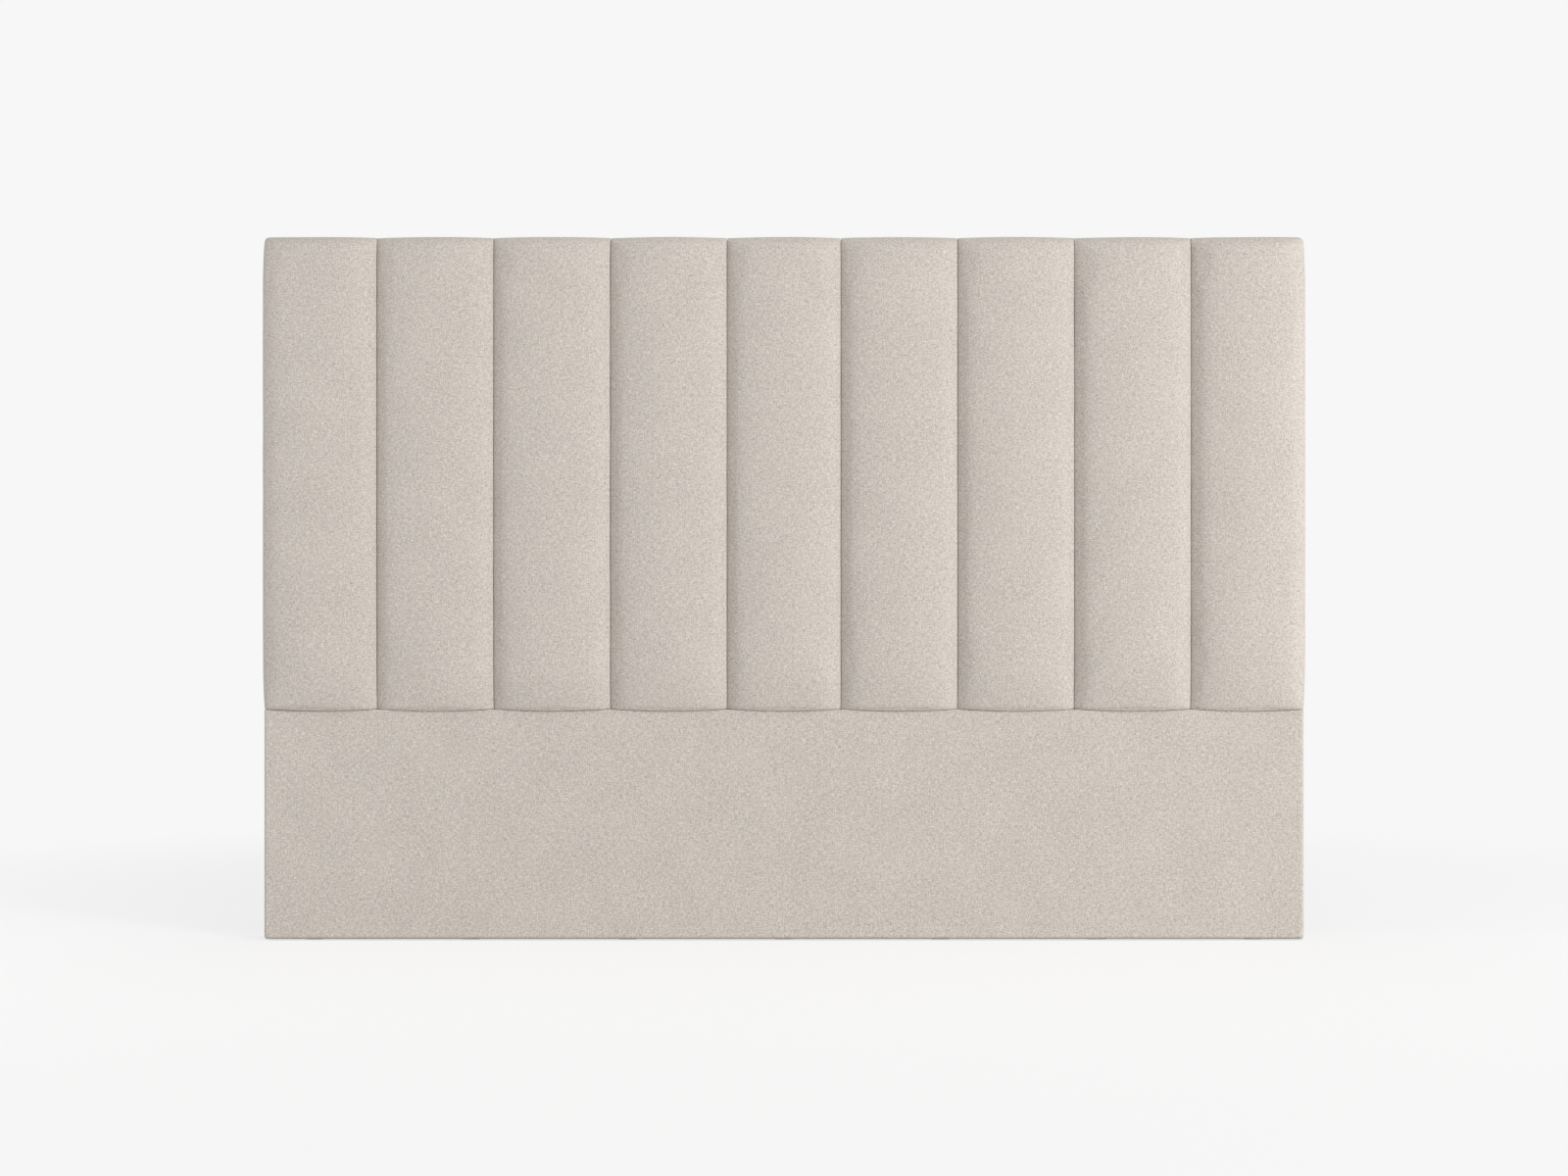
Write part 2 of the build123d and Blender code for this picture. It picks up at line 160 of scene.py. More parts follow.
class HeadboardStageSettings(bpy.types.PropertyGroup):
    """Floor, light and camera."""

    ground: share("Ground", "Brightness of the ground in the picture", 0.93)
    ambient: level("Ambient", "Strength of the light from all round", 0.45)
    floor_glow: level("Floor glow", "Light that the far floor throws back", 0.46)
    key_power: watts("Key power", "Power of the soft lamp at the right", 600)
    key_place: place("Key place", "Place of that lamp", (7.4, -6.67, 1.35))
    key_size: metres("Key size", "Width of that lamp", 3)
    front_power: watts("Front power", "Power of the soft lamp behind the camera", 168)
    front_place: place("Front place", "Place of that lamp", (0.0, -9.85, 1.2))
    front_size: metres("Front size", "Width of that lamp", 3)
    left_power: watts("Left power", "Power of the faint lamp at the left", 12.6)
    left_place: place("Left place", "Place of that lamp", (-2.92, -0.62, 0.8))
    left_size: metres("Left size", "Width of that lamp", 1.5)
    right_power: watts("Right power", "Power of the faint lamp at the right", 7)
    right_place: place("Right place", "Place of that lamp", (2.95, -0.3, 0.7))
    right_size: metres("Right size", "Width of that lamp", 1.2)
    top_power: watts("Top power", "Power of the soft lamp above", 8)
    top_place: place("Top place", "Place of that lamp", (0.0, 0.35, 3.0))
    top_size: metres("Top size", "Width of that lamp", 2)
    floor_share: level("Floor share", "Brightness of the floor that comes from the light on it", 0.349)
    camera_place: place("Camera place", "Place of the camera", (0.0, -4.523, 0.6065))
    camera_lens: level("Camera lens", "Focal length in millimetres", 60)


# Meshes

LINE_GAP = 0.0012  # nearer than this to an added line, an even one is left out


def spread(low, high, cell, low_steps, high_steps=None):
    """Lattice lines from low to high: even cells between the steps for its ends, or for both ends."""
    start = [low + step for step in low_steps]
    end = [high - step for step in high_steps or low_steps][::-1]
    count = max(1, math.ceil((end[0] - start[-1]) / cell))
    return np.array(start[:-1] + list(np.linspace(start[-1], end[0], count + 1)) + end[1:])


def quarter_steps(length, count):
    """Steps from an edge that divide a quarter roll of this length into even turns."""
    return [length * (1 - math.sin(math.radians(90 - 90 / count * step))) for step in range(count + 1)]


def with_lines(lines, *extra):
    """Lattice lines with some more set among them."""
    kept = [line for line in lines if all(abs(line - other) > LINE_GAP for other in extra)]
    return np.array(sorted(kept + list(extra)))


def skin_quads(lines, empty=None):
    """The quads round a lattice's solid cells, facing outwards, with the signed axis each looks along."""
    solid = np.ones([len(line) - 1 for line in lines], np.int8)
    if empty:
        solid[empty] = 0
    quads, axes = [], []
    for axis in range(3):
        margin = [(1, 1) if a == axis else (0, 0) for a in range(3)]
        change = np.diff(np.pad(solid, margin), axis=axis)
        for step in (1, -1):
            low = np.argwhere(change == step)
            corners = np.repeat(low[:, None, :], 4, axis=1)
            corners[:, 1:3, (axis + 1) % 3] += 1
            corners[:, 2:4, (axis + 2) % 3] += 1
            quads.append(corners[:, ::-1] if step == 1 else corners)
            axes.append(np.full(len(low), -step * (axis + 1)))
    return np.concatenate(quads), np.concatenate(axes)


def welded(quads, lines):
    """The lattice points that quads use, as keys and as places, and the quads as rows of those points."""
    keys, quads = np.unique(quads.reshape(-1, 3), axis=0, return_inverse=True)
    return keys, np.stack([line[key] for line, key in zip(lines, keys.T)], axis=1), quads.reshape(-1, 4)


def unfolded(axes, u, v, behind):
    """Cloth coordinates whose sides fold out beside the front, by how far each corner lies behind it."""
    u = u + np.where(np.abs(axes) == 1, np.sign(axes), 0)[:, None] * behind
    v = v + np.where(np.abs(axes) == 3, np.sign(axes), 0)[:, None] * behind
    return np.stack([u, v], axis=2)


def into(distance, radius):
    """How far a point lies inside a rounded edge's zone, from 0 at its start to 1 at the face."""
    return np.clip(1 - distance / radius, 0, None)


def rounding(turn, radius):
    """How far points move for round edges and corners, from the signed way of each into the three zones."""
    length = np.linalg.norm(turn, axis=1, keepdims=True)
    return np.where(length > 1, turn / np.maximum(length, 1e-9) - turn, 0) * radius


def faded(distance, length):
    """A soft step from 1 at no distance to 0 at this length."""
    left = np.clip(1 - distance / length, 0, 1)
    return left * left * (3 - 2 * left)


def mesh_of(name, points, faces, uvs=None, edges=()):
    """A smooth mesh object from points and faces or edges, with an own UV map in metres."""
    mesh = bpy.data.meshes.new(name)
    mesh.from_pydata([tuple(p) for p in points], edges, [tuple(int(i) for i in f) for f in faces])
    if uvs is not None:
        layer = mesh.uv_layers.new(name="cloth")
        layer.data.foreach_set("uv", np.asarray(uvs, np.float32).ravel())
    mesh.shade_smooth()
    mesh.update()
    made = bpy.data.objects.new(name, mesh)
    bpy.context.scene.collection.objects.link(made)
    return made


def read_points(mesh):
    """A mesh's points, one a row."""
    points = np.empty(len(mesh.vertices) * 3, np.float32)
    mesh.vertices.foreach_get("co", points)
    return points.reshape(-1, 3).astype(float)


def write_points(mesh, points):
    """Moves a mesh's points to these."""
    mesh.vertices.foreach_set("co", points.ravel())
    mesh.update()


def thickened(piece, thickness):
    """Gives a cloth its thickness behind the face that is modelled."""
    solidify = piece.modifiers.new("Cloth thickness", "SOLIDIFY")
    solidify.thickness = thickness
    solidify.offset = -1


def finished(piece, material):
    """Gives a piece its material and lets it ride with the headboard."""
    piece.data.materials.clear()
    piece.data.materials.append(material)
    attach(piece, "root")


def waves(points, size, seed):
    """Soft random waves of about this size at each point, from -1 to 1."""
    shift = Vector((17.3 * seed, 5.1 * seed, 0))
    return np.array([noise.noise(Vector(p) / size + shift) for p in points])


# Channels

PAD_EDGE_STEPS = [0, 0.0004, 0.0009, 0.0016, 0.0028, 0.0045, 0.007, 0.0105, 0.0155]
PAD_LAYERS = np.array([0, 0.22, 0.45, 0.65, 0.8, 0.9, 0.955, 0.985, 1.0])
HELD_LAYERS = 2
TOP_HOLLOW = 0.003  # how much flatter the top edge is at a crease
CREASE_LEAN_LOSS = 0.6  # share of the lean at the hem that is missing at a crease
HEM_ROLL_POWER = 2.5
SCALLOP_FADE = 0.06  # height over which the scallops of the top and the hem fade out
PAD_WAVE = 0.07
PUFF_FRAMES = 20
PUFF_CLOTH = {
    "quality": 5, "mass": 0.3, "tension_stiffness": 15, "compression_stiffness": 15, "shear_stiffness": 5,
    "bending_stiffness": 0.5, "vertex_group_mass": "held", "use_pressure": True,
}


def pad_inset(height, low, high, sizes):
    """How far a side without a neighbour draws in at a height: a long ease, then a round corner."""
    from_end = np.clip(np.minimum(height - low, high - height), 0, None)
    ease = sizes.free_side_bow * np.clip(1 - from_end / sizes.free_side_ease, 0, None) ** 2
    radius = sizes.free_corner_radius
    rise = radius - np.minimum(from_end, radius)
    return ease + radius - np.sqrt(np.clip(radius**2 - rise**2, 0, None))


def rounded_pair(first, second, radius):
    """Rounds an edge by turning the square zone along it, in distances from its two faces, into a disc."""
    a, b = np.clip(1 - first / radius, 0, 1), np.clip(1 - second / radius, 0, 1)
    near = (a > 0) & (b > 0)
    part = np.maximum(a, b) / np.maximum(np.sqrt(a * a + b * b), 1e-9)
    return np.where(near, radius * (1 - a * part), first), np.where(near, radius * (1 - b * part), second)


def pad_depth(across, z, free, low, high, sizes):
    """How far a channel's front stands off its back, at each place across it from -1 to 1 and each height."""
    top_turn = np.clip(1 - (high.z - z) / sizes.top_roll_height, 0, 1)
    hem_turn = np.clip(1 - (z - low.z) / sizes.hem_roll_height, 0, 1)
    full = high.y - low.y
    crown = full - sizes.swell * ((z - low.z) / (high.z - low.z) * 2 - 1) ** 2
    drop = sizes.crease_drop * (sizes.crown_share * across**2 + (1 - sizes.crown_share) * across**8)
    ease = np.clip(1 - (z - low.z) / sizes.hem_ease_height, 0, 1) ** 2
    lean = sizes.hem_ease_drop * ease * (1 - np.where(free, 1, CREASE_LEAN_LOSS) * across**2)
    level = crown - drop - lean
    top_end = sizes.top_roll_depth - TOP_HOLLOW * across**2
    rolled = top_end + (level - top_end) * np.sqrt(1 - top_turn**2)
    hem_roll = sizes.hem_roll_drop * hem_turn**HEM_ROLL_POWER * level / full
    return np.where(top_turn > 0, rolled, level - hem_roll)


def run_along(points):
    """The length along a row of points up to each of them."""
    return np.concatenate([[0], np.cumsum(np.linalg.norm(np.diff(points, axis=0), axis=1))])


def pad_mesh(number, sizes):
    """A channel's closed form on a lattice: its points, quads, cloth coordinates and held points."""
    low, high = PAD_BOXES[number - 1]
    hem_steps, top_steps = quarter_steps(sizes.hem_roll_height, 7), quarter_steps(sizes.top_roll_height, 10)
    x_lines = spread(low.x, high.x, sizes.cell, PAD_EDGE_STEPS)
    z_lines = spread(low.z, high.z, sizes.cell, hem_steps, top_steps)
    lines = (x_lines, PAD_LAYERS, z_lines)
    quads, axes = skin_quads(lines)
    keys, places, quads = welded(quads, lines)
    x, layer_share, z = places.T
    column, layer, row = keys.T

    half, middle = (high.x - low.x) / 2, (high.x + low.x) / 2
    from_side, from_top = rounded_pair(half - np.abs(x - middle), high.z - z, sizes.corner_radius)
    z = high.z - from_top
    side = np.sign(x - middle)
    across = side * (half - from_side) / half
    left_free, right_free = number == PAD_NUMBERS[0], number == PAD_NUMBERS[-1]
    free = np.where(side < 0, left_free, right_free)
    depth = pad_depth(across, z, free, low, high, sizes)
    edge_radius = np.where(free, sizes.free_edge_radius, sizes.crease_radius)
    from_side, from_front = rounded_pair(half - np.abs(across) * half, (1 - layer_share) * depth, edge_radius)
    across = side * (half - from_side) / half

    z = z + sizes.hem_scallop * across**2 * faded(z - low.z, SCALLOP_FADE)
    inset = pad_inset(z, low.z, high.z, sizes)
    left, right = low.x + inset * left_free, high.x - inset * right_free
    x = left + (right - left) * (across + 1) / 2
    z = z + (sizes.top_rise - sizes.top_scallop * across**2 * ~free) * faded(from_top, SCALLOP_FADE)
    points = np.stack([x, high.y - (depth - from_front), z], axis=1)

    front = layer == len(PAD_LAYERS) - 1
    flat_x = run_along(points[front & (row == len(z_lines) // 2)][:, :2])
    flat_z = run_along(points[front & (column == len(x_lines) // 2)][:, 1:])
    corner = keys[quads]
    u = (flat_x - flat_x[-1] / 2 + middle)[corner[..., 0]]
    uvs = unfolded(axes, u, (low.z + flat_z)[corner[..., 2]], from_front[quads])
    # The layers run against the y axis, so the corners go round the other way.
    return points, quads[:, ::-1], uvs[:, ::-1].reshape(-1, 2), layer < HELD_LAYERS


def vertex_normals(points, quads):
    """Area-weighted outward normals of a closed mesh's points."""
    a = points[quads[:, 2]] - points[quads[:, 0]]
    b = points[quads[:, 3]] - points[quads[:, 1]]
    face = np.cross(a, b)
    total = np.zeros_like(points)
    for corner in range(4):
        np.add.at(total, quads[:, corner], face)
    return total / np.maximum(np.linalg.norm(total, axis=1, keepdims=True), 1e-12)


def puffed(cushions, sizes):
    """Blows the cushions up as cloths held at their backs, and returns the new points of each.

    A cloth starts behind its form by the puff and may move by as much, along Y only.
    """
    starts = []
    for piece, form, _, held in cushions:
        starts.append(form + np.array([0, sizes.puff, 0]) * ~held[:, None])
        write_points(piece.data, starts[-1])
        group = piece.vertex_groups.new(name="held")
        group.add([int(i) for i in np.nonzero(held)[0]], 1.0, "REPLACE")
        cloth = piece.modifiers.new("Cloth", "CLOTH")
        for name, value in PUFF_CLOTH.items():
            setattr(cloth.settings, name, value)
        cloth.settings.uniform_pressure_force = sizes.pressure
        cloth.settings.effector_weights.gravity = 0
        cloth.collision_settings.use_collision = False
    scene = bpy.context.scene
    for step in range(1, PUFF_FRAMES + 1):
        scene.frame_set(step)
    result = []
    depsgraph = bpy.context.evaluated_depsgraph_get()
    for (piece, form, *_), start in zip(cushions, starts):
        shown = piece.evaluated_get(depsgraph)
        moved = read_points(shown.to_mesh())
        shown.to_mesh_clear()
        let_out = np.clip(moved[:, 1] - start[:, 1], -sizes.puff, sizes.puff)
        result.append(np.stack([form[:, 0], start[:, 1] + let_out, form[:, 2]], axis=1))
        piece.modifiers.clear()
        piece.vertex_groups.clear()
    scene.frame_set(1)
    return result


class HEADBOARD_OT_channels(bpy.types.Operator):
    """Builds the nine channels, each one closed cushion puffed up by air pressure"""

    bl_idname = "headboard.channels"
    bl_label = "Channels"

    def execute(self, context):
        sizes = context.scene.headboard_pads
        cloth = upholstery_cloth(context.scene.headboard_finish)
        cushions = []
        for number in PAD_NUMBERS:
            form, quads, uvs, held = pad_mesh(number, sizes)
            cushions.append((mesh_of(f"pad_{number}", form, quads, uvs), form, quads, held))
        shapes = puffed(cushions, sizes)
        for number, (piece, _, quads, held), points in zip(PAD_NUMBERS, cushions, shapes):
            low, high = PAD_BOXES[number - 1]
            push = waves(points, PAD_WAVE, number) * sizes.unevenness
            points = points + vertex_normals(points, quads) * (push * ~held)[:, None]
            points[:, 0] = np.clip(points[:, 0], low.x, high.x)
            points[:, 1] = np.minimum(points[:, 1], high.y)
            write_points(piece.data, points)
            smooth = piece.modifiers.new("Subdivision", "SUBSURF")
            smooth.levels = smooth.render_levels = 1
            smooth.boundary_smooth = "PRESERVE_CORNERS"
            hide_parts(f"pad_{number}_cover", f"pad_{number}_foam")
            finished(piece, cloth)
        return {"FINISHED"}


# Panel

PANEL_EDGE_STEPS = [0, 0.0006, 0.0014, 0.0024, 0.0036, 0.005, 0.007, 0.0095, 0.014, 0.022]
PANEL_FRONT_STEPS = [0, 0.0008, 0.002, 0.0036, 0.0055, 0.0075, 0.0097, 0.012, 0.016]
PANEL_REAR_STEPS = [0, 0.0007, 0.002, 0.005]
TUCK_STEPS = [0, 0.0003, 0.0006, 0.0012, 0.003, 0.006, 0.011, 0.02]
SIDE_CELL = 0.012
HIDDEN_CELL_FACTOR = 1.6  # wider cells behind the channels
HEM_GAP = 0.0003  # from the channels' hems down to the skirt's top
HEM_FADE = 0.07  # height over which the skirt's scalloped top evens out
SKIRT_SWELL = 0.0006
SKIRT_SWELL_EDGE = 0.05  # width over which the swell comes up from the skirt's edge
SKIRT_WAVE = 0.11


def hem_rise(x, scallop):
    """How much higher the channels' hem line lies at each x than at the middle of its channel."""
    rise = np.zeros_like(x)
    for low, high in PAD_BOXES:
        inside = (x >= low.x - 0.0005) & (x <= high.x + 0.0005)
        across = (x - (low.x + high.x) / 2) / ((high.x - low.x) / 2)
        rise = np.where(inside, scallop * np.clip(across, -1, 1) ** 2, rise)
    return rise


def panel_lines(sizes, hem, board):
    """The lattice lines of the panel cloth, with one at the hem, at the board and at each turnover."""
    low, high, cell = PANEL_LOW, PANEL_HIGH, sizes.cell
    shown, hidden = sizes.turnover, sizes.hidden_turnover
    sides = [side * (high.x - width) for side in (-1, 1) for width in (shown, hidden)]
    x_lines = with_lines(spread(low.x, high.x, cell, PANEL_EDGE_STEPS), *sides)
    y_lines = with_lines(spread(low.y, high.y, SIDE_CELL, PANEL_FRONT_STEPS, PANEL_REAR_STEPS), board)
    lower = spread(low.z, hem, cell, PANEL_EDGE_STEPS, TUCK_STEPS)
    upper = spread(hem, high.z, cell * HIDDEN_CELL_FACTOR, [0, SIDE_CELL], PANEL_EDGE_STEPS)
    turns = (low.z + shown, high.z - shown, hem + hidden, high.z - hidden)
    return x_lines, y_lines, with_lines(np.concatenate([lower, upper[1:]]), *turns)


def panel_moves(places, skirt, hem, sizes):
    """How far each point of the square panel moves for its round edges."""
    low, high = PANEL_LOW, PANEL_HIGH
    x, y, z = places.T
    top = np.where(skirt, hem, high.z)
    over = z > (low.z + top) / 2
    radius_z = np.where(over & skirt, sizes.tuck_radius, sizes.side_radius)
    turn_x = into(high.x - np.abs(x), sizes.side_radius) * np.sign(x)
    turn_z = into(np.where(over, top - z, z - low.z), radius_z) * np.where(over, 1, -1)
    turn_front = np.where(skirt, into(y - low.y, sizes.front_radius), 0)
    turn_rear = into(high.y - y, sizes.rear_radius)
    radius_y = np.where(turn_rear > 0, sizes.rear_radius, sizes.front_radius)
    radius = np.stack([np.full_like(x, sizes.side_radius), radius_y, radius_z], axis=1)
    return rounding(np.stack([turn_x, turn_rear - turn_front, turn_z], axis=1), radius)


class HEADBOARD_OT_panel(bpy.types.Operator):
    """Builds the cloth over the panel: the padded skirt, the sides and the turnovers"""

    bl_idname = "headboard.panel"
    bl_label = "Panel cloth"

    def execute(self, context):
        sizes = context.scene.headboard_panel
        low, high = PANEL_LOW, PANEL_HIGH
        hem = PAD_BOXES[0][0].z - HEM_GAP
        board = BOARD_FRONT - sizes.cloth
        lines = x_lines, y_lines, z_lines = panel_lines(sizes, hem, board)
        board_line = int(np.argmin(np.abs(y_lines - board)))
        hem_line = int(np.argmin(np.abs(z_lines - hem)))
        quads, axes = skin_quads(lines, np.s_[:, :board_line, hem_line:])

        centre_x = np.abs(x_lines[quads[..., 0]].mean(axis=1))
        centre_z = z_lines[quads[..., 2]].mean(axis=1)

        def within(width, bottom):
            return (centre_x < high.x - width) & (centre_z > bottom + width) & (centre_z < high.z - width)

        rear = (axes == 2) & within(sizes.turnover, low.z)
        kept = ~(rear | ((axes == -2) & within(sizes.hidden_turnover, hem)))
        quads, axes = quads[kept], axes[kept]
        keys, places, quads = welded(quads, lines)
        corner = places[quads]
        uvs = unfolded(axes, corner[..., 0], corner[..., 2], corner[..., 1] - low.y)

        x, _, z = places.T
        skirt = keys[:, 1] < board_line
        points = places + panel_moves(places, skirt, hem, sizes)
        rise = hem_rise(points[:, 0], context.scene.headboard_pads.hem_scallop)
        points[:, 2] += rise * faded(np.abs(points[:, 2] - hem), HEM_FADE)
        from_edge = np.minimum.reduce([high.x - np.abs(x), z - low.z, hem - z])
        inward = np.clip(from_edge / SKIRT_SWELL_EDGE, 0, 1) * (skirt & (keys[:, 1] == 0))
        points[:, 1] -= inward * (SKIRT_SWELL + sizes.unevenness * waves(points, SKIRT_WAVE, 31))

        piece = mesh_of("panel_upholstery", points, quads, uvs.reshape(-1, 2))
        thickened(piece, sizes.cloth)
        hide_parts("panel_cover", "skirt_foam")
        finished(piece, upholstery_cloth(context.scene.headboard_finish))
        return {"FINISHED"}


# Back and underside

OPENING_LINES = np.array([-2.2, -1.6, -1, -0.5, 0, 0.5, 1, 1.6, 2.2])  # in radii from an opening's middle
OPENING_REACH = 2.2  # radii over which the lattice round an opening turns from round to square
OPENING_CLEAR = 2.6  # radii round an opening that its own lattice lines take
DUST_CELL = 0.016
FOLD = 0.0003  # how much the folded hem stands up
SAG, SAG_WAVES, SAG_EDGE = 0.0003, 0.0006, 0.08
PUCKER, PUCKER_EDGE = 0.00025, 0.05
DUST_WAVE = 0.16


def insert_places():
    """The x and z of each threaded insert's middle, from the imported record."""
    mount = next(m for m in frame["record"]["mounts"] if m["name"] == "bed_bracket_inserts")
    x, _, z = mount["pos_m"]
    across, up = mount["dims"]["spacing_x_mm"] / 2000, mount["dims"]["spacing_y_mm"] / 2000
    return [(x + side * across, z + end * up) for side in (-1, 1) for end in (-1, 1)]


def dust_lines(low, high, hem_steps, centres, radius):
    """Lattice lines of the dust cloth, with their own ones at each opening in place of the even ones."""
    lines = spread(low, high, DUST_CELL, hem_steps)
    for centre in sorted(set(centres)):
        lines = lines[np.abs(lines - centre) > OPENING_CLEAR * radius]
        lines = np.sort(np.append(lines, centre + radius * OPENING_LINES))
    return lines


class HEADBOARD_OT_dust_cloth(bpy.types.Operator):
    """Builds the thin cloth on the back, with an opening over each insert"""

    bl_idname = "headboard.dust_cloth"
    bl_label = "Dust cloth"

    def execute(self, context):
        sizes = context.scene.headboard_back
        low, high, radius, hem = DUST_LOW, DUST_HIGH, sizes.opening_radius, sizes.dust_hem
        places = insert_places()
        hem_steps = [0, hem * 0.5, hem * 0.92, hem]
        x_lines = dust_lines(low.x, high.x, hem_steps, [x for x, _ in places], radius)
        z_lines = dust_lines(low.z, high.z, hem_steps, [z for _, z in places], radius)
        rows = len(z_lines)
        faces = []
        for i, centre_x in enumerate((x_lines[1:] + x_lines[:-1]) / 2):
            for k, centre_z in enumerate((z_lines[1:] + z_lines[:-1]) / 2):
                if all(max(abs(centre_x - x), abs(centre_z - z)) >= radius for x, z in places):
                    first = i * rows + k
                    faces.append((first, first + 1, first + rows + 1, first + rows))
        x, z = (grid.ravel() for grid in np.meshgrid(x_lines, z_lines, indexing="ij"))
        for centre_x, centre_z in places:
            dx, dz = x - centre_x, z - centre_z
            square = np.maximum(np.abs(dx), np.abs(dz))
            near = (square < OPENING_REACH * radius) & (square > 0)
            blend = np.clip((OPENING_REACH * radius - square) / ((OPENING_REACH - 1) * radius), 0, 1)
            scale = 1 + blend * (square / np.maximum(np.hypot(dx, dz), 1e-9) - 1)
            x = np.where(near, centre_x + dx * scale, x)
            z = np.where(near, centre_z + dz * scale, z)
        from_edge = np.minimum.reduce([x - low.x, high.x - x, z - low.z, high.z - z])
        folded = np.clip((hem - from_edge) / (hem * 0.08), 0, 1)
        flat = np.stack([x, np.zeros_like(x), z], axis=1)
        sag = np.clip(from_edge / SAG_EDGE, 0, 1) * (SAG + SAG_WAVES * waves(flat, DUST_WAVE, 47))
        pull = PUCKER * np.clip(1 - from_edge / PUCKER_EDGE, 0, 1)
        pucker = np.abs(pull * np.cos(2 * math.pi * (x + z) / sizes.staple_pitch))
        back = low.y + sizes.dust_cloth + FOLD * folded + sag + pucker
        uvs = flat[np.array(faces)][..., ::2].reshape(-1, 2)
        piece = mesh_of("dust_cloth", np.stack([x, back, z], axis=1), faces, uvs)
        thickened(piece, sizes.dust_cloth)
        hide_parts("dust_cover")
        finished(piece, dust_cloth_finish(context.scene.headboard_finish))
        return {"FINISHED"}


def repeat_tree(name, along_path):
    """Geometry nodes that repeat a pattern object, along a path at a pitch or at a mesh's points."""
    inputs = [
        ("Geometry", "Geometry"), ("Pattern", "Object"), ("Finish", "Material"), ("Pitch", "Float", 0.05),
        ("Turn jitter", "Float", 0.0), ("Seed", "Int", 3),
    ]
    tree, given, result = new_group(name, "GeometryNodeTree", inputs, [("Geometry", "Geometry")])
    pattern = add(tree, "GeometryNodeObjectInfo", {"Object": given["Pattern"], "As Instance": True})
    spots = {"Points": given["Geometry"]}
    if along_path:
        curve = add(tree, "GeometryNodeMeshToCurve", {"Mesh": given["Geometry"]}).outputs["Curve"]
        even = {"Curve": curve, "Length": given["Pitch"]}
        points = add(tree, "GeometryNodeCurveToPoints", even, mode="LENGTH")
        tangent = {"Vector": points.outputs["Tangent"]}
        turned = add(tree, "FunctionNodeAlignRotationToVector", tangent, axis="X", pivot_axis="Y")
        spots = {"Points": points.outputs["Points"], "Rotation": turned.outputs["Rotation"]}
    placed = add(tree, "GeometryNodeInstanceOnPoints", {"Instance": pattern.outputs["Geometry"], **spots})
    jitter = add(tree, "FunctionNodeRandomValue", {"Seed": given["Seed"]}, data_type="FLOAT")
    least, most = [s for s in jitter.inputs if s.type == "VALUE"][:2]
    tree.links.new(maths(tree, "MULTIPLY", given["Turn jitter"], -1), least)
    tree.links.new(given["Turn jitter"], most)
    turn = next(s for s in jitter.outputs if s.type == "VALUE")
    angle = add(tree, "ShaderNodeCombineXYZ", {"Y": turn}).outputs["Vector"]
    spin = {"Instances": placed.outputs["Instances"], "Rotation": angle}
    spun = add(tree, "GeometryNodeRotateInstances", spin).outputs["Instances"]
    real = add(tree, "GeometryNodeRealizeInstances", {"Geometry": spun}).outputs["Geometry"]
    last = add(tree, "GeometryNodeSetMaterial", {"Geometry": real, "Material": given["Finish"]})
    filled(tree, result, {"Geometry": last.outputs["Geometry"]})
    return tree


def repeated(name, pattern, points, finish, edges=(), **values):
    """One plain mesh of a pattern object set out at points, or along the edges between them."""
    piece = mesh_of(name, points, (), edges=edges)
    tree_name = "Repeat along a path" if edges else "Place at points"
    tree = bpy.data.node_groups.get(tree_name) or repeat_tree(tree_name, bool(edges))
    modifier = piece.modifiers.new("Repeat", "NODES")
    modifier.node_group = tree
    values.update(Pattern=pattern, Finish=finish)
    for item in tree.interface.items_tree:
        if item.in_out == "INPUT" and item.name in values:
            modifier[item.identifier] = values[item.name]
    made = bpy.data.meshes.new_from_object(piece.evaluated_get(bpy.context.evaluated_depsgraph_get()))
    piece.modifiers.clear()
    piece.data = made
    made.name = piece.name
    mesh = pattern.data
    bpy.data.objects.remove(pattern)
    bpy.data.meshes.remove(mesh)
    if not made.polygons:
        raise RuntimeError(f"{name} came out empty")
    return piece


def circle(sides):
    """The cosine and sine of each corner of a circle."""
    turns = [2 * math.pi * step / sides for step in range(sides)]
    return [(math.cos(turn), math.sin(turn)) for turn in turns]


def ring_faces(rings, count, closed=False):
    """Quads between rings of points in turn, also from the last to the first if closed."""
    faces = []
    for ring in range(rings if closed else rings - 1):
        here, there = ring * count, (ring + 1) % rings * count
        for step in range(count):
            after = (step + 1) % count
            faces.append((here + step, there + step, there + after, here + after))
    return faces


def closed_mesh(name, points, faces):
    """A closed mesh object whose faces look outwards."""
    made = mesh_of(name, points, faces)
    shell = bmesh.new()
    shell.from_mesh(made.data)
    bmesh.ops.remove_doubles(shell, verts=shell.verts, dist=1e-6)
    bmesh.ops.recalc_face_normals(shell, faces=shell.faces)
    shell.to_mesh(made.data)
    shell.free()
    return made


def tube(name, path, radius, sides):
    """A closed round wire through the points of a path in the XY plane."""
    points = []
    for index, (x, y) in enumerate(path):
        before, after = path[max(index - 1, 0)], path[min(index + 1, len(path) - 1)]
        direction = Vector((after[0] - before[0], after[1] - before[1], 0)).normalized()
        out_x, out_y = -direction.y * radius, direction.x * radius
        points += [(x + out_x * c, y + out_y * c, radius * s) for c, s in circle(sides)]
    ends = [tuple(range(sides)), tuple(range(len(points) - 1, len(points) - sides - 1, -1))]
    return closed_mesh(name, points, ring_faces(len(path), sides) + ends)


def turned_form(name, profile, sides):
    """A closed body turned about Y from a closed profile of radius and Y pairs."""
    points = [(r * c, y, r * s) for c, s in circle(sides) for r, y in profile]
    return closed_mesh(name, points, ring_faces(sides, len(profile), closed=True))


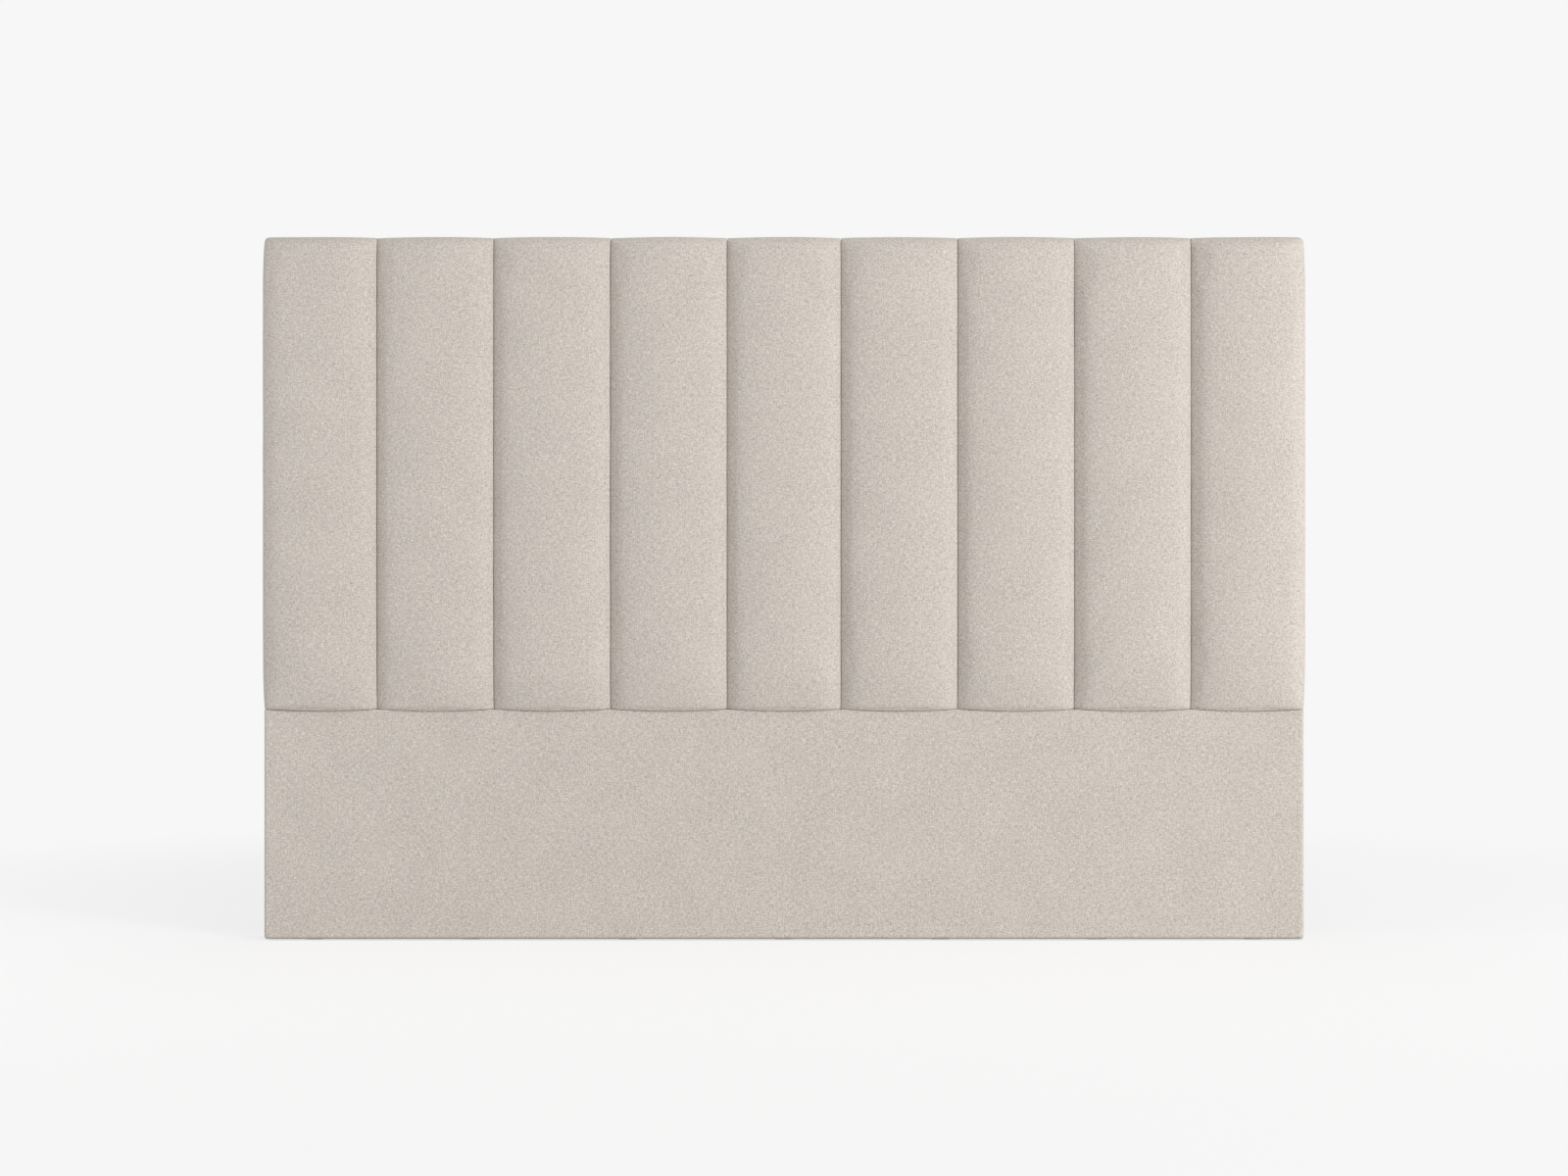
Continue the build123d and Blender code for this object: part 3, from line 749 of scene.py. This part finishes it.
class HEADBOARD_OT_staples(bpy.types.Operator):
    """Sets the staples out along the dust cloth's edge"""

    bl_idname = "headboard.staples"
    bl_label = "Staples"

    def execute(self, context):
        sizes = context.scene.headboard_back
        half, wire = sizes.staple_width / 2, sizes.staple_wire / 2
        bend, leg, turn_limit = 0.0009, 0.0035, 0.09
        arc = [(half - bend + bend * math.sin(math.radians(a)), bend * math.cos(math.radians(a)) - bend)
               for a in (0, 30, 60, 90)]
        side = arc + [(half, -leg)]
        staple = tube("staple", [(-x, y) for x, y in side[::-1]] + side, wire, sides=6)
        back = DUST_LOW.y + sizes.dust_cloth + FOLD + wire * 0.9
        setback, shift = sizes.staple_setback, sizes.staple_pitch / 2
        low_x, high_x = DUST_LOW.x + setback, DUST_HIGH.x - setback
        low_z, high_z = DUST_LOW.z + setback, DUST_HIGH.z - setback
        corners = [(low_x, low_z), (high_x, low_z), (high_x, high_z), (low_x, high_z)]
        points = []
        for (x, z), (next_x, next_z) in zip(corners, corners[1:] + corners[:1]):
            part = shift / math.hypot(next_x - x, next_z - z)
            points += [(x + (next_x - x) * t, back, z + (next_z - z) * t) for t in (part, 1 - part)]
        edges = [(0, 1), (2, 3), (4, 5), (6, 7)]
        steel = steel_finish(context.scene.headboard_finish)
        values = {"Pitch": sizes.staple_pitch, "Turn jitter": turn_limit, "Seed": 11}
        piece = repeated("dust_cloth_staples", staple, points, steel, edges, **values)
        finished(piece, steel)
        return {"FINISHED"}


FELT_CELLS = (0.005, 0.006, 0.001)


class HEADBOARD_OT_felt(bpy.types.Operator):
    """Builds the felt strips that the panel rests on"""

    bl_idname = "headboard.felt"
    bl_label = "Felt strips"

    def execute(self, context):
        low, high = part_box("felt_strips")
        solid = frame["nodes"]["felt_strips"].data
        ends = sorted({round(float(v.co.x), 4) for v in solid.vertices})
        middles = [(a + b) / 2 for a, b in zip(ends[::2], ends[1::2])]
        edge = context.scene.headboard_back.felt_edge
        size = np.array([(ends[1] - ends[0]) / 2, (high.y - low.y) / 2, (high.z - low.z) / 2])
        centre = np.array([0, (low.y + high.y) / 2, (low.z + high.z) / 2])
        steps = [0, edge * 0.5, edge]
        lines = [spread(c - s, c + s, cell, steps) for c, s, cell in zip(centre, size, FELT_CELLS)]
        _, points, quads = welded(skin_quads(lines)[0], lines)
        turn = into(size - np.abs(points - centre), edge)
        points = points + rounding(turn, edge) * np.sign(points - centre)
        strip = mesh_of("felt_strip", points, quads)
        felt = felt_finish(context.scene.headboard_finish)
        piece = repeated("felt_strip_set", strip, [(x, 0, 0) for x in middles], felt)
        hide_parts("felt_strips")
        finished(piece, felt)
        return {"FINISHED"}


class HEADBOARD_OT_inserts(bpy.types.Operator):
    """Builds the threaded inserts in the bracket posts"""

    bl_idname = "headboard.inserts"
    bl_label = "Threaded inserts"

    def execute(self, context):
        low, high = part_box("threaded_inserts")
        places = insert_places()
        depth = high.y - low.y
        flange = context.scene.headboard_back.flange_radius
        outer = (high.z - max(z for _, z in places)) * 0.99
        core, rib_top, ribs = outer * 0.86, outer * 0.97, 5
        root, crest, pitch = 0.004, 0.00336, 0.00125
        profile = [(flange - 0.0003, 0.0006), (flange, 0.0003), (flange, 0), (outer, 0)]
        profile += [(outer, -0.0014), (core, -0.002)]
        for rib in range(ribs):
            y = -0.004 - rib * (depth - 0.006) / ribs
            profile += [(core, y), (rib_top, y - 0.0012), (core, y - 0.0024)]
        profile += [(outer * 0.84, -depth + 0.0005), (outer * 0.78, -depth), (0.0042, -depth)]
        for turn in range(int((depth - 0.003) / pitch), 0, -1):
            y = -0.0015 - turn * pitch
            profile += [(root, y), (crest, y + pitch / 2)]
        profile += [(root, -0.0014), (0.005, 0.0001), (0.0055, 0.0006)]
        sleeve = turned_form("insert_sleeve", profile, sides=40)
        steel = steel_finish(context.scene.headboard_finish)
        piece = repeated("insert_sleeves", sleeve, [(x, high.y, z) for x, z in places], steel)
        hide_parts("threaded_inserts")
        finished(piece, steel)
        return {"FINISHED"}


class HEADBOARD_OT_frame_finish(bpy.types.Operator):
    """Gives the timber, boards and screws inside their materials"""

    bl_idname = "headboard.frame_finish"
    bl_label = "Frame finish"

    def execute(self, context):
        finish = context.scene.headboard_finish
        upright = wood("timber_upright", finish.timber_colour, 0.62, 0.007, 90, 0.75, 0.0003, 0.5)
        crosswise = wood("timber_crosswise", finish.timber_colour, 0.62, 0.007, 0, 0.75, 0.0003, 0.5)
        board = wood("board", finish.board_colour, 0.8, 0.022, 90, 0.7, 0.0002, 0.4)
        kinds = {"rail": crosswise, "stile": upright, "post": upright, "blocks": upright, "board": board}
        steel = steel_finish(finish)
        for name, node in frame["nodes"].items():
            if not node.hide_render:
                for slot in node.material_slots:
                    slot.material = next((kinds[end] for end in kinds if name.endswith(end)), steel)
        return {"FINISHED"}


# Nodes


def filled(tree, node, inputs):
    """Links a node's inputs to the sockets that are given for them, or sets them to the values."""
    for name, value in inputs.items():
        if isinstance(value, bpy.types.NodeSocket):
            tree.links.new(value, node.inputs[name])
        else:
            node.inputs[name].default_value = value
    return node


def add(tree, kind, inputs=None, **settings):
    """A node with its settings, and its inputs linked or set."""
    made = tree.nodes.new(kind)
    for name, value in settings.items():
        setattr(made, name, value)
    return filled(tree, made, inputs or {})


def maths(tree, operation, *values):
    """The result of a Math node for sockets or numbers, or of a chain of them for more than two."""
    while len(values) > 2:
        values = (maths(tree, operation, *values[:2]), *values[2:])
    return add(tree, "ShaderNodeMath", dict(enumerate(values)), operation=operation).outputs[0]


def vector_maths(tree, operation, inputs):
    """The result of a Vector Math node."""
    return add(tree, "ShaderNodeVectorMath", inputs, operation=operation).outputs[0]


def ranged(tree, value, start=(0, 1), end=(0, 1), **settings):
    """A value mapped from the range start to the range end."""
    inputs = {"Value": value, "From Min": start[0], "From Max": start[1], "To Min": end[0], "To Max": end[1]}
    return add(tree, "ShaderNodeMapRange", inputs, **settings).outputs["Result"]


def mixed(tree, factor, first, second, kind="RGBA"):
    """The mix of two colours, or of two numbers if kind is FLOAT."""
    low, high, out = (6, 7, 2) if kind == "RGBA" else (2, 3, 0)
    inputs = {"Factor": factor, low: first, high: second}
    return add(tree, "ShaderNodeMix", inputs, data_type=kind).outputs[out]


def noised(tree, spot, scale, detail, **inputs):
    """The value of a Noise node at a place."""
    inputs = {"Vector": spot, "Scale": scale, "Detail": detail, **inputs}
    return add(tree, "ShaderNodeTexNoise", inputs).outputs["Fac"]


def mapped(tree, spot, **inputs):
    """A place after a Mapping node."""
    return add(tree, "ShaderNodeMapping", {"Vector": spot, **inputs}).outputs["Vector"]


def new_group(name, kind, inputs, outputs):
    """A node group with named sockets, the sockets of its inputs and the node that takes its results."""
    tree = bpy.data.node_groups.new(name, kind)
    for side, rows in (("INPUT", inputs), ("OUTPUT", outputs)):
        for label, value_kind, *default in rows:
            made = tree.interface.new_socket(name=label, in_out=side, socket_type=f"NodeSocket{value_kind}")
            if default:
                made.default_value = default[0]
    return tree, tree.nodes.new("NodeGroupInput").outputs, tree.nodes.new("NodeGroupOutput")


def weave_group():
    """Threads, mottled yarn, slubs and clouds of a woven cloth, with painted shade in the dips between
    threads, in metres on the cloth's own UV map.
    """
    known = bpy.data.node_groups.get("Woven cloth")
    if known:
        return known
    inputs = [
        ("Cloth place", "Vector"), ("Thread", "Float"), ("Yarn", "Color"), ("Fleck", "Color"),
        ("Mottle", "Float"), ("Slub", "Float"), ("Cloud", "Float"),
    ]
    outputs = [("Color", "Color"), ("Height", "Float")]
    tree, given, result = new_group("Woven cloth", "ShaderNodeTree", inputs, outputs)
    spot, thread = given["Cloth place"], given["Thread"]

    def calc(operation, *values):
        return maths(tree, operation, *values)

    def flat_noise(at, scale, detail):
        inputs = {"Vector": at, "Scale": scale, "Detail": detail}
        return add(tree, "ShaderNodeTexNoise", inputs, noise_dimensions="2D").outputs

    def thread_wave(axis):
        return calc("SINE", calc("MULTIPLY", calc("DIVIDE", split[axis], thread), math.pi))

    # Spots of a size in metres along the cloth's two axes, where a noise rises from low to high.
    def speckle(size_x, size_y, detail, low, high):
        grains = mapped(tree, spot, Scale=(1 / size_x, 1 / size_y, 1))
        return ranged(tree, flat_noise(grains, 1, detail)["Fac"], (low, high))

    def both_ways(size_x, size_y, low, high):
        return calc("MAXIMUM", speckle(size_x, size_y, 1, low, high), speckle(size_y, size_x, 1, low, high))

    def weighed(value, middle, strength):
        return calc("MULTIPLY", calc("SUBTRACT", value, middle), strength)

    wobble = flat_noise(spot, 140, 1)["Color"]
    centred = vector_maths(tree, "SUBTRACT", {0: wobble, 1: (0.5, 0.5, 0.5)})
    sized = vector_maths(tree, "SCALE", {0: centred, "Scale": calc("MULTIPLY", thread, 0.9)})
    bent = vector_maths(tree, "ADD", {0: spot, 1: sized})
    split = add(tree, "ShaderNodeSeparateXYZ", {0: bent}).outputs
    warp, weft = thread_wave("X"), thread_wave("Y")
    over = ranged(tree, calc("MULTIPLY", warp, weft), (-0.25, 0.25))
    thread_relief_and_shade = mixed(tree, over, calc("ABSOLUTE", weft), calc("ABSOLUTE", warp), "FLOAT")

    yarns = [(0.0062, 0.0016), (0.0016, 0.0062), (0.0020, 0.0020)]
    mottle = calc("DIVIDE", calc("ADD", *[speckle(*size, 1, 0.30, 0.70) for size in yarns]), 3.0)
    slub = both_ways(0.014, 0.0019, 0.58, 0.74)
    dark_slub = both_ways(0.0021, 0.011, 0.42, 0.26)
    cloud = speckle(0.075, 0.09, 2, 0.25, 0.75)
    # The thread relief also colours the cloth: painted shade in the dips between threads and a painted
    # highlight on their crests.
    total = calc(
        "ADD", weighed(mottle, 0.5, given["Mottle"]), weighed(slub, dark_slub, given["Slub"]),
        weighed(cloud, 0.5, given["Cloud"]), weighed(thread_relief_and_shade, 0.6, 0.16), 1.0,
    )
    shade = vector_maths(tree, "SCALE", {0: given["Yarn"], "Scale": total})
    specks = calc("MULTIPLY", speckle(0.0021, 0.0021, 0, 0.66, 0.80), 0.5)
    filled(tree, result, {
        "Color": mixed(tree, specks, shade, given["Fleck"]),
        "Height": calc("ADD", calc("MULTIPLY", thread_relief_and_shade, 0.5), mottle, calc("MULTIPLY", slub, 0.6)),
    })
    return tree


def grain_group():
    """Growth rings and fibres of sawn wood that run along the first axis of the place it is given."""
    known = bpy.data.node_groups.get("Wood grain")
    if known:
        return known
    inputs = [("Place", "Vector"), ("Early wood", "Color"), ("Late wood", "Color"), ("Ring width", "Float")]
    outputs = [("Color", "Color"), ("Height", "Float")]
    tree, given, result = new_group("Wood grain", "ShaderNodeTree", inputs, outputs)
    stretched = mapped(tree, given["Place"], Scale=(0.06, 1, 1))
    bend = maths(tree, "MULTIPLY", noised(tree, stretched, 14, 2), 0.05)
    fibre = noised(tree, stretched, 900, 2)
    split = add(tree, "ShaderNodeSeparateXYZ", {0: stretched}).outputs
    across = maths(tree, "ADD", split["Z"], maths(tree, "MULTIPLY", split["Y"], 0.35), bend)
    ring = maths(tree, "FRACT", maths(tree, "DIVIDE", across, given["Ring width"]))
    ring = maths(tree, "MULTIPLY", maths(tree, "POWER", ring, 2.2), 0.7)
    late = maths(tree, "ADD", ring, maths(tree, "MULTIPLY", fibre, 0.25))
    wood_colour = mixed(tree, late, given["Early wood"], given["Late wood"])
    filled(tree, result, {"Color": wood_colour, "Height": fibre})
    return tree


# Materials


def opaque(colour_values, factor=1.0):
    """A colour for a socket, made lighter or darker."""
    return (*(c * factor for c in colour_values), 1)


def nodes_of(name):
    """A new material, its node tree and its Principled shader."""
    material = bpy.data.materials.new(name)
    material.use_nodes = True
    return material, material.node_tree, material.node_tree.nodes["Principled BSDF"]


def object_place(tree):
    """The place on the object, in metres."""
    return add(tree, "ShaderNodeTexCoord").outputs["Object"]


def surfaced(tree, shader, colour_socket, height, distance, strength, surface):
    """Gives a Principled shader its colour, its relief through a Bump node and its other inputs."""
    bump = add(tree, "ShaderNodeBump", {"Height": height, "Distance": distance, "Strength": strength})
    filled(tree, shader, {"Base Color": colour_socket, "Normal": bump.outputs["Normal"], **surface})


def woven(name, distance, strength, weave, surface):
    """A woven cloth with the depth and strength of its relief, its weave's inputs and its surface's."""
    material, tree, shader = nodes_of(name)
    spot = add(tree, "ShaderNodeUVMap", uv_map="cloth").outputs["UV"]
    cloth = add(tree, "ShaderNodeGroup", {"Cloth place": spot, **weave}, node_tree=weave_group()).outputs
    surfaced(tree, shader, cloth["Color"], cloth["Height"], distance, strength, surface)
    return material


def upholstery_cloth(finish):
    """The beige woven cloth."""
    known = bpy.data.materials.get("upholstery_cloth")
    if known:
        return known
    weave = {
        "Yarn": opaque(finish.cloth_colour), "Fleck": opaque(finish.cloth_fleck),
        "Thread": finish.cloth_thread, "Mottle": 0.62, "Slub": 0.14, "Cloud": 0.05,
    }
    surface = {"Roughness": 0.92, "Specular IOR Level": 0.2, "Sheen Weight": 0.12, "Sheen Roughness": 0.5}
    return woven("upholstery_cloth", 0.0004, 0.6, weave, surface)


def dust_cloth_finish(finish):
    """Thin black cloth with a faint weave."""
    weave = {
        "Thread": 0.0011, "Yarn": opaque(finish.dust_colour), "Fleck": opaque(finish.dust_colour, 2.4),
        "Mottle": 0.5, "Slub": 0.35, "Cloud": 0.3,
    }
    return woven("dust_cloth", 0.0002, 0.5, weave, {"Roughness": 0.85, "Sheen Weight": 0.2})


def wood(name, early, late_share, ring_width, turn, roughness, distance, strength):
    """Wood whose grain runs along X, or up after a quarter turn. Its late wood is darker by late_share."""
    material, tree, shader = nodes_of(name)
    spot = object_place(tree)
    inputs = {
        "Place": mapped(tree, spot, Rotation=(0, math.radians(turn), 0)), "Early wood": opaque(early),
        "Late wood": opaque(early, late_share), "Ring width": ring_width,
    }
    grain = add(tree, "ShaderNodeGroup", inputs, node_tree=grain_group()).outputs
    surfaced(tree, shader, grain["Color"], grain["Height"], distance, strength, {"Roughness": roughness})
    return material


def steel_finish(finish):
    """Zinc plated steel with faint blotches."""
    known = bpy.data.materials.get("steel")
    if known:
        return known
    material, tree, shader = nodes_of("steel")
    blotch = noised(tree, object_place(tree), 600, 3)
    filled(tree, shader, {
        "Base Color": mixed(tree, blotch, opaque(finish.steel_colour), opaque(finish.steel_colour, 0.7)),
        "Roughness": ranged(tree, blotch, end=(0.25, 0.5)), "Metallic": 1,
    })
    return material


def felt_finish(finish):
    """Pressed felt with mixed fibres."""
    material, tree, shader = nodes_of("felt")
    fibre = noised(tree, object_place(tree), 900, 4, Distortion=1.5)
    fibres = mixed(tree, fibre, opaque(finish.felt_colour, 0.6), opaque(finish.felt_colour, 1.5))
    surfaced(tree, shader, fibres, fibre, 0.0004, 0.7, {"Roughness": 0.95, "Sheen Weight": 0.3})
    return material


# Stage

FLOOR_LEVEL = -0.0004  # just under the felt strips
FLOOR_SIDES = 48
FLOOR_RINGS = (0.6, 1.2, 1.8, 2.6, 4.0, 8.0, 20.0)
FLOOR_FADE = (1.2, 2.6)  # radii between which the floor's shadows fade out


def seen_directly(tree):
    """1 for rays that look at the ground for the picture, 0 for the light that it throws."""
    ray = add(tree, "ShaderNodeLightPath").outputs
    return maths(tree, "MAXIMUM", ray["Is Camera Ray"], ray["Is Glossy Ray"], ray["Is Transmission Ray"])


def floor_finish(settings):
    """A pale floor that keeps the headboard's soft shadow and fades into the ground's colour."""
    material, tree, shader = nodes_of("studio_floor")
    tree.nodes.remove(shader)
    spot = object_place(tree)
    length = add(tree, "ShaderNodeVectorMath", {0: spot}, operation="LENGTH").outputs["Value"]
    near = ranged(tree, length, FLOOR_FADE, (1, 0), interpolation_type="SMOOTHSTEP")
    shown = ranged(tree, near, end=(settings.ground, settings.ground - settings.floor_share))
    thrown = ranged(tree, near, end=(settings.floor_glow, 0))
    level = mixed(tree, seen_directly(tree), thrown, shown, "FLOAT")
    glow = add(tree, "ShaderNodeEmission", {"Color": (1, 1, 1, 1), "Strength": level})
    dark = add(tree, "ShaderNodeBsdfDiffuse", {"Color": (0, 0, 0, 1)})
    matt = add(tree, "ShaderNodeBsdfDiffuse", {"Color": (0.5, 0.5, 0.5, 1)})
    far = add(tree, "ShaderNodeMixShader", {"Fac": near, 1: dark.outputs[0], 2: matt.outputs[0]})
    both = add(tree, "ShaderNodeAddShader", {0: far.outputs[0], 1: glow.outputs[0]})
    filled(tree, tree.nodes["Material Output"], {"Surface": both.outputs[0]})
    return material


class HEADBOARD_OT_stage(bpy.types.Operator):
    """Sets the floor, the soft light and the camera"""

    bl_idname = "headboard.stage"
    bl_label = "Stage"

    def execute(self, context):
        scene = context.scene
        settings = scene.headboard_stage
        middle = Vector((0, 0, settings.camera_place[2]))
        corners = circle(FLOOR_SIDES)
        points = [(radius * c, radius * s, FLOOR_LEVEL) for radius in FLOOR_RINGS for c, s in corners]
        faces = [range(FLOOR_SIDES), *ring_faces(len(FLOOR_RINGS), FLOOR_SIDES)]
        floor = mesh_of("studio_floor", points, faces)
        floor.data.materials.append(floor_finish(settings))

        world = bpy.data.worlds.new("studio")
        scene.world = world
        world.use_nodes = True
        tree = world.node_tree
        level = ranged(tree, seen_directly(tree), end=(settings.ambient, settings.ground))
        filled(tree, tree.nodes["Background"], {"Color": (1, 1, 1, 1), "Strength": level})

        for name in ("key", "front", "left", "right", "top"):
            lamp = bpy.data.lights.new(name, "AREA")
            lamp.shape = "DISK"
            lamp.size = getattr(settings, f"{name}_size")
            lamp.energy = getattr(settings, f"{name}_power")
            holder = bpy.data.objects.new(name, lamp)
            holder.location = getattr(settings, f"{name}_place")
            holder.rotation_euler = (middle - holder.location).to_track_quat("-Z", "Y").to_euler()
            scene.collection.objects.link(holder)

        camera = bpy.data.objects.new("camera", bpy.data.cameras.new("camera"))
        camera.data.lens = settings.camera_lens
        camera.data.sensor_width = 36
        camera.location = settings.camera_place
        camera.rotation_euler = (math.radians(90), 0, 0)
        scene.collection.objects.link(camera)
        scene.camera = camera
        scene.view_settings.view_transform = "Standard"
        return {"FINISHED"}


class HEADBOARD_PT_panel(bpy.types.Panel):
    """Lists the headboard's settings and steps"""

    bl_idname = "HEADBOARD_PT_panel"
    bl_label = "Headboard"
    bl_space_type = "VIEW_3D"
    bl_region_type = "UI"
    bl_category = "Headboard"

    def draw(self, context):
        for settings, _, operators in STEPS:
            box = self.layout.box()
            group = getattr(context.scene, settings)
            for name in group.__annotations__:
                box.prop(group, name)
            for operator in operators:
                box.operator(operator.bl_idname)


BACK_STEPS = (HEADBOARD_OT_dust_cloth, HEADBOARD_OT_staples, HEADBOARD_OT_felt, HEADBOARD_OT_inserts)
STEPS = (
    ("headboard_pads", HeadboardPadSettings, (HEADBOARD_OT_channels,)),
    ("headboard_panel", HeadboardPanelSettings, (HEADBOARD_OT_panel,)),
    ("headboard_back", HeadboardBackSettings, BACK_STEPS),
    ("headboard_finish", HeadboardFinishSettings, (HEADBOARD_OT_frame_finish,)),
    ("headboard_stage", HeadboardStageSettings, (HEADBOARD_OT_stage,)),
)


def register():
    """Makes the settings, operators and panel known."""
    for name, group, operators in STEPS:
        for kind in (group, *operators):
            bpy.utils.register_class(kind)
        setattr(bpy.types.Scene, name, PointerProperty(type=group))
    bpy.utils.register_class(HEADBOARD_PT_panel)


def unregister():
    """Takes them back."""
    bpy.utils.unregister_class(HEADBOARD_PT_panel)
    for name, group, operators in STEPS:
        delattr(bpy.types.Scene, name)
        for kind in (*operators, group):
            bpy.utils.unregister_class(kind)


def main():
    """Builds every piece in order."""
    register()
    for *_, operators in STEPS:
        for operator in operators:
            area, name = operator.bl_idname.split(".")
            if getattr(getattr(bpy.ops, area), name)() != {"FINISHED"}:
                raise RuntimeError(f"{operator.bl_label} did not finish")


if __name__ == "__main__":
    main()
